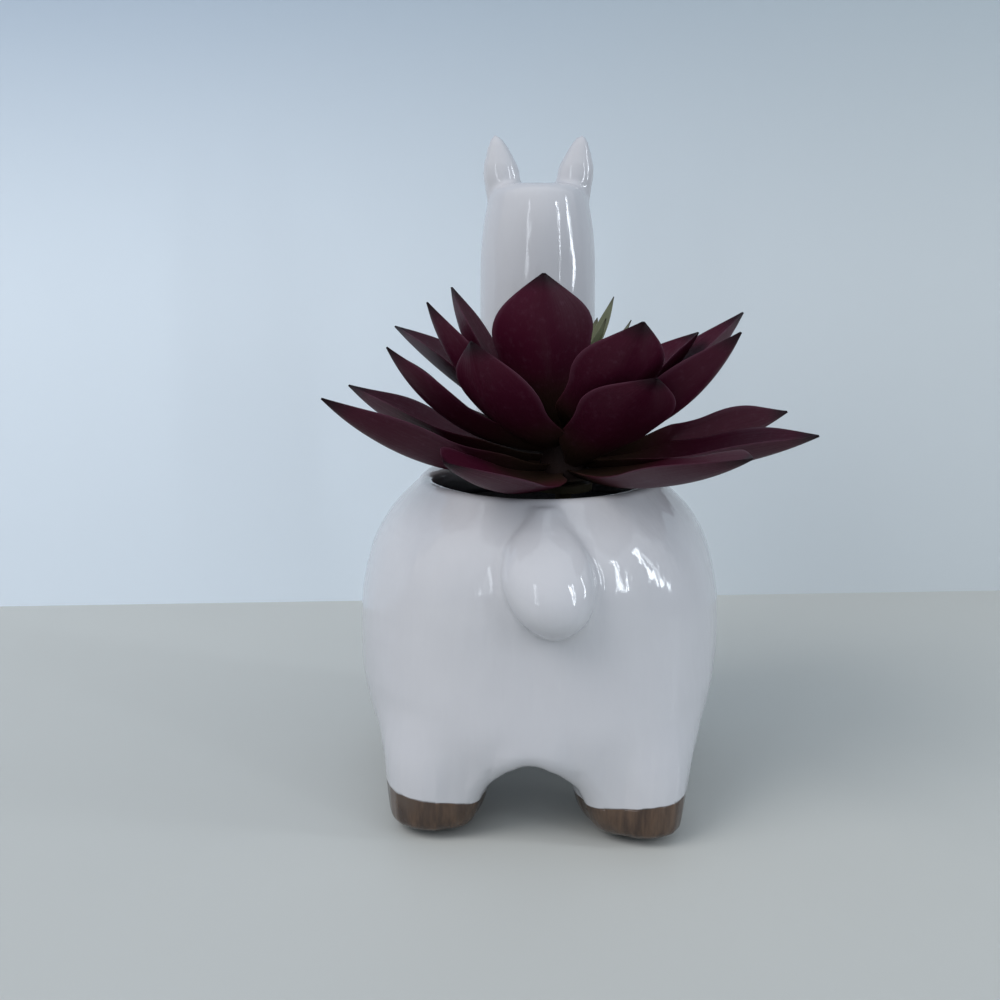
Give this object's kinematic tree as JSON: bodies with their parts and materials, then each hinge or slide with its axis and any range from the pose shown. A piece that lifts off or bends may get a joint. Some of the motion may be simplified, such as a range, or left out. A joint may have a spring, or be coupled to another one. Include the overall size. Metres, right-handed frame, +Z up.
{
  "type": "animal shaped planter",
  "caption": "White glazed ceramic llama planter with brown hooves and an artificial burgundy succulent in the opening of its back.",
  "frame": {"origin": "middle of the whole object's footprint, on the surface that the hooves stand on", "axes": "+Z up, +Y the way the animal faces, +X its right side"},
  "size_m": [0.1433, 0.1536, 0.2025],
  "materials": {
    "white_glaze": "glossy white glaze with faint brushed streaks",
    "brown_glaze": "glossy mottled brown glaze",
    "foam": "matt open-celled dark foam",
    "stem_green": "matt dull green plastic",
    "burgundy_leaf": "satin soft plastic, burgundy with green-brown feet and dark tips",
    "green_leaf": "satin soft plastic, olive green with dark tips"
  },
  "bodies": {
    "pot": {"llama_body": "white_glaze", "left_ear": "white_glaze", "right_ear": "white_glaze", "tail": "white_glaze", "rear_left_hoof": "brown_glaze", "rear_right_hoof": "brown_glaze", "front_left_hoof": "brown_glaze", "front_right_hoof": "brown_glaze"},
    "foam": {"foam_block": "foam"},
    "succulent": {"stem": "stem_green", "collar": "stem_green", "lower_leaf_1": "burgundy_leaf", "lower_leaf_2": "burgundy_leaf", "lower_leaf_3": "burgundy_leaf", "lower_leaf_4": "burgundy_leaf", "lower_leaf_5": "burgundy_leaf", "lower_leaf_6": "burgundy_leaf", "lower_leaf_7": "burgundy_leaf", "lower_leaf_8": "burgundy_leaf", "middle_leaf_1": "burgundy_leaf", "middle_leaf_2": "burgundy_leaf", "middle_leaf_3": "burgundy_leaf", "middle_leaf_4": "burgundy_leaf", "middle_leaf_5": "burgundy_leaf", "middle_leaf_6": "burgundy_leaf", "middle_leaf_7": "burgundy_leaf", "middle_leaf_8": "burgundy_leaf", "upper_leaf_1": "burgundy_leaf", "upper_leaf_2": "burgundy_leaf", "upper_leaf_3": "burgundy_leaf", "upper_leaf_4": "burgundy_leaf", "upper_leaf_5": "burgundy_leaf", "upper_leaf_6": "burgundy_leaf", "upper_leaf_7": "burgundy_leaf", "upper_leaf_8": "burgundy_leaf", "heart_outer_whorl": "green_leaf", "heart_inner_whorl": "green_leaf", "centre_bud": "green_leaf"}
  },
  "joints": [
    {"name": "foam_lift", "type": "slide", "parent": "pot", "child": "foam", "axis": [0, 0, 1], "range_m": [0, 0.07]},
    {"name": "succulent_lift", "type": "slide", "parent": "foam", "child": "succulent", "axis": [0, 0, 1], "range_m": [0, 0.036]}
  ]
}
